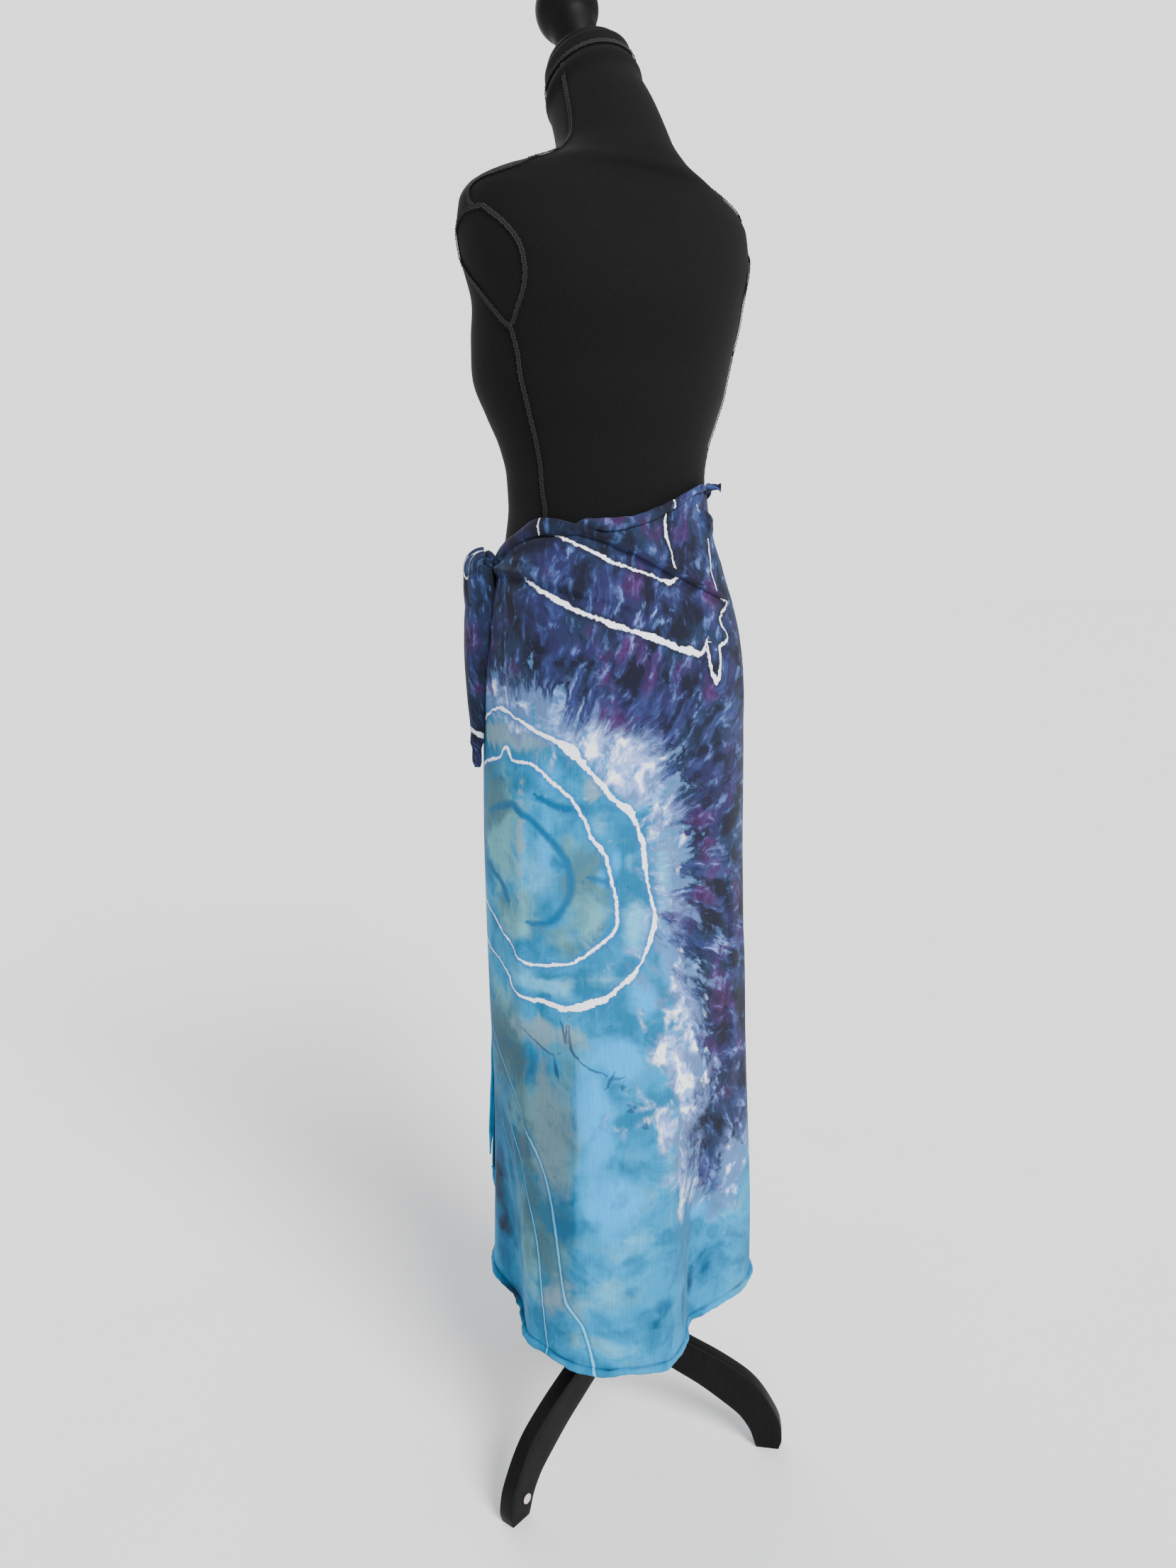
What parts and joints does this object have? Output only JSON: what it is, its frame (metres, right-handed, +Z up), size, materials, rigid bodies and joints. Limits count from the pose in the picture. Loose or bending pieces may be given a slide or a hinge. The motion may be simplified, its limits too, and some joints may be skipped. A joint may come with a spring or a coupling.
{
  "type": "sarong on a limbless dress form",
  "caption": "Ankle-length wrapped and knotted sarong of dyed jersey, worn on a limbless dress form with a pole and tripod.",
  "frame": {"origin": "on the floor, at the middle of the footprint of the whole", "axes": "+Z up the pole, -Y to the wearer's front, +X to the wearer's left"},
  "size_m": [0.3768, 0.37, 1.7501],
  "materials": {
    "jersey_dyed": "matte cotton jersey, resist-dyed in indigo, purple, cyan and teal",
    "jersey_black": "matte black jersey cover over foam",
    "wood_black": "satin black painted wood",
    "plug_pale": "pale plastic plug"
  },
  "bodies": {
    "root": {"form_body": "jersey_black", "neck_cap": "wood_black", "finial": "wood_black", "pole": "wood_black", "hub": "wood_black", "leg_1": "wood_black", "leg_2": "wood_black", "leg_3": "wood_black", "leg_plug": "plug_pale", "skirt_left": "jersey_dyed", "skirt_right": "jersey_dyed", "skirt_front": "jersey_dyed", "hem_roll": "jersey_dyed", "side_roll": "jersey_dyed", "waist_roll_left": "jersey_dyed", "waist_roll_back": "jersey_dyed", "waist_roll_front": "jersey_dyed", "pleat_knot": "jersey_dyed", "pleat_back": "jersey_dyed", "knot": "jersey_dyed", "tail": "jersey_dyed", "tail_front": "jersey_dyed", "hip_puff": "jersey_dyed", "edge_tip": "jersey_dyed"}
  },
  "joints": []
}
